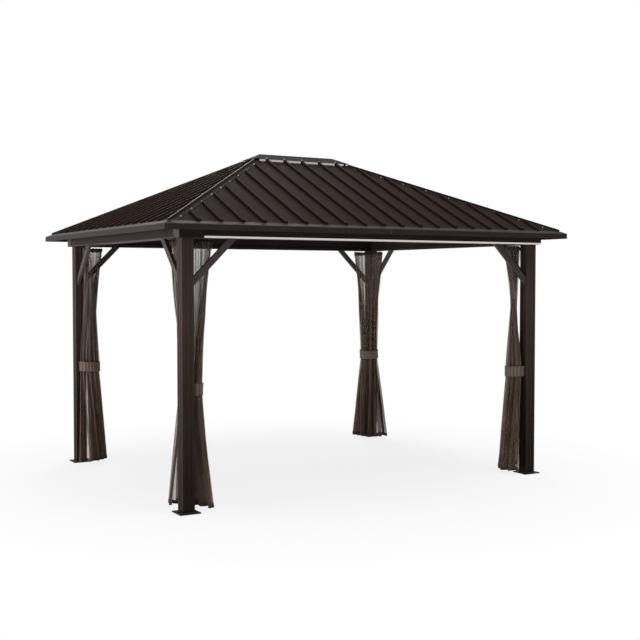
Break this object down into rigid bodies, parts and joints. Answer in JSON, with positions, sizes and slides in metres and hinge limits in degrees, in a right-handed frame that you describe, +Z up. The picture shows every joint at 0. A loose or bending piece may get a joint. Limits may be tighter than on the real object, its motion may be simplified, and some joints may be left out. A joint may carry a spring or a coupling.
{
  "type": "hardtop garden gazebo",
  "caption": "Open hardtop garden gazebo with a hipped ribbed metal roof, raised ridge vent, braced square posts on foot plates and a gathered netting at each corner.",
  "frame": {"origin": "on the ground, at the middle of the plan of the roof and posts", "axes": "+X along the long side towards the right post as seen from the front, +Y towards the back, +Z up"},
  "size_m": [3.63, 2.91, 2.7373],
  "materials": {
    "post_paint": "satin powder coat on aluminium",
    "foot_plate_paint": "satin powder coat on steel",
    "beam_paint": "satin powder coat on aluminium",
    "brace_paint": "satin powder coat on aluminium",
    "rafter_paint": "satin powder coat on steel",
    "roof_sheet_paint": "satin coil coat on galvanised steel",
    "roof_cap_paint": "satin powder coat on steel",
    "eaves_trim_paint": "satin powder coat on aluminium",
    "pale_lip": "satin bare aluminium",
    "netting_mesh": "fine brown polyester mosquito mesh",
    "netting_hem": "dark brown woven polyester tape",
    "tie_band": "brown woven polyester band",
    "screw_zinc": "zinc-plated screw heads",
    "hook_nylon": "moulded nylon curtain hooks"
  },
  "bodies": {
    "root": {"front_left_post": "post_paint", "front_right_post": "post_paint", "back_left_post": "post_paint", "back_right_post": "post_paint", "front_left_foot_plate": "foot_plate_paint", "front_right_foot_plate": "foot_plate_paint", "back_left_foot_plate": "foot_plate_paint", "back_right_foot_plate": "foot_plate_paint", "front_beam": "beam_paint", "back_beam": "beam_paint", "left_beam": "beam_paint", "right_beam": "beam_paint", "front_left_brace_x": "brace_paint", "front_right_brace_x": "brace_paint", "back_left_brace_x": "brace_paint", "back_right_brace_x": "brace_paint", "front_left_brace_y": "brace_paint", "front_right_brace_y": "brace_paint", "back_left_brace_y": "brace_paint", "back_right_brace_y": "brace_paint", "front_left_hip_rafter": "rafter_paint", "front_right_hip_rafter": "rafter_paint", "back_left_hip_rafter": "rafter_paint", "back_right_hip_rafter": "rafter_paint", "front_rafter": "rafter_paint", "back_rafter": "rafter_paint", "left_rafter": "rafter_paint", "right_rafter": "rafter_paint", "ridge_beam": "rafter_paint", "front_roof_sheet": "roof_sheet_paint", "back_roof_sheet": "roof_sheet_paint", "left_roof_sheet": "roof_sheet_paint", "right_roof_sheet": "roof_sheet_paint", "front_left_hip_cap": "roof_cap_paint", "front_right_hip_cap": "roof_cap_paint", "back_left_hip_cap": "roof_cap_paint", "back_right_hip_cap": "roof_cap_paint", "ridge_cap": "roof_cap_paint", "front_eaves_trim": "eaves_trim_paint", "back_eaves_trim": "eaves_trim_paint", "left_eaves_trim": "eaves_trim_paint", "right_eaves_trim": "eaves_trim_paint", "front_left_netting": "netting_mesh", "front_right_netting": "netting_mesh", "back_left_netting": "netting_mesh", "back_right_netting": "netting_mesh"}
  },
  "joints": []
}
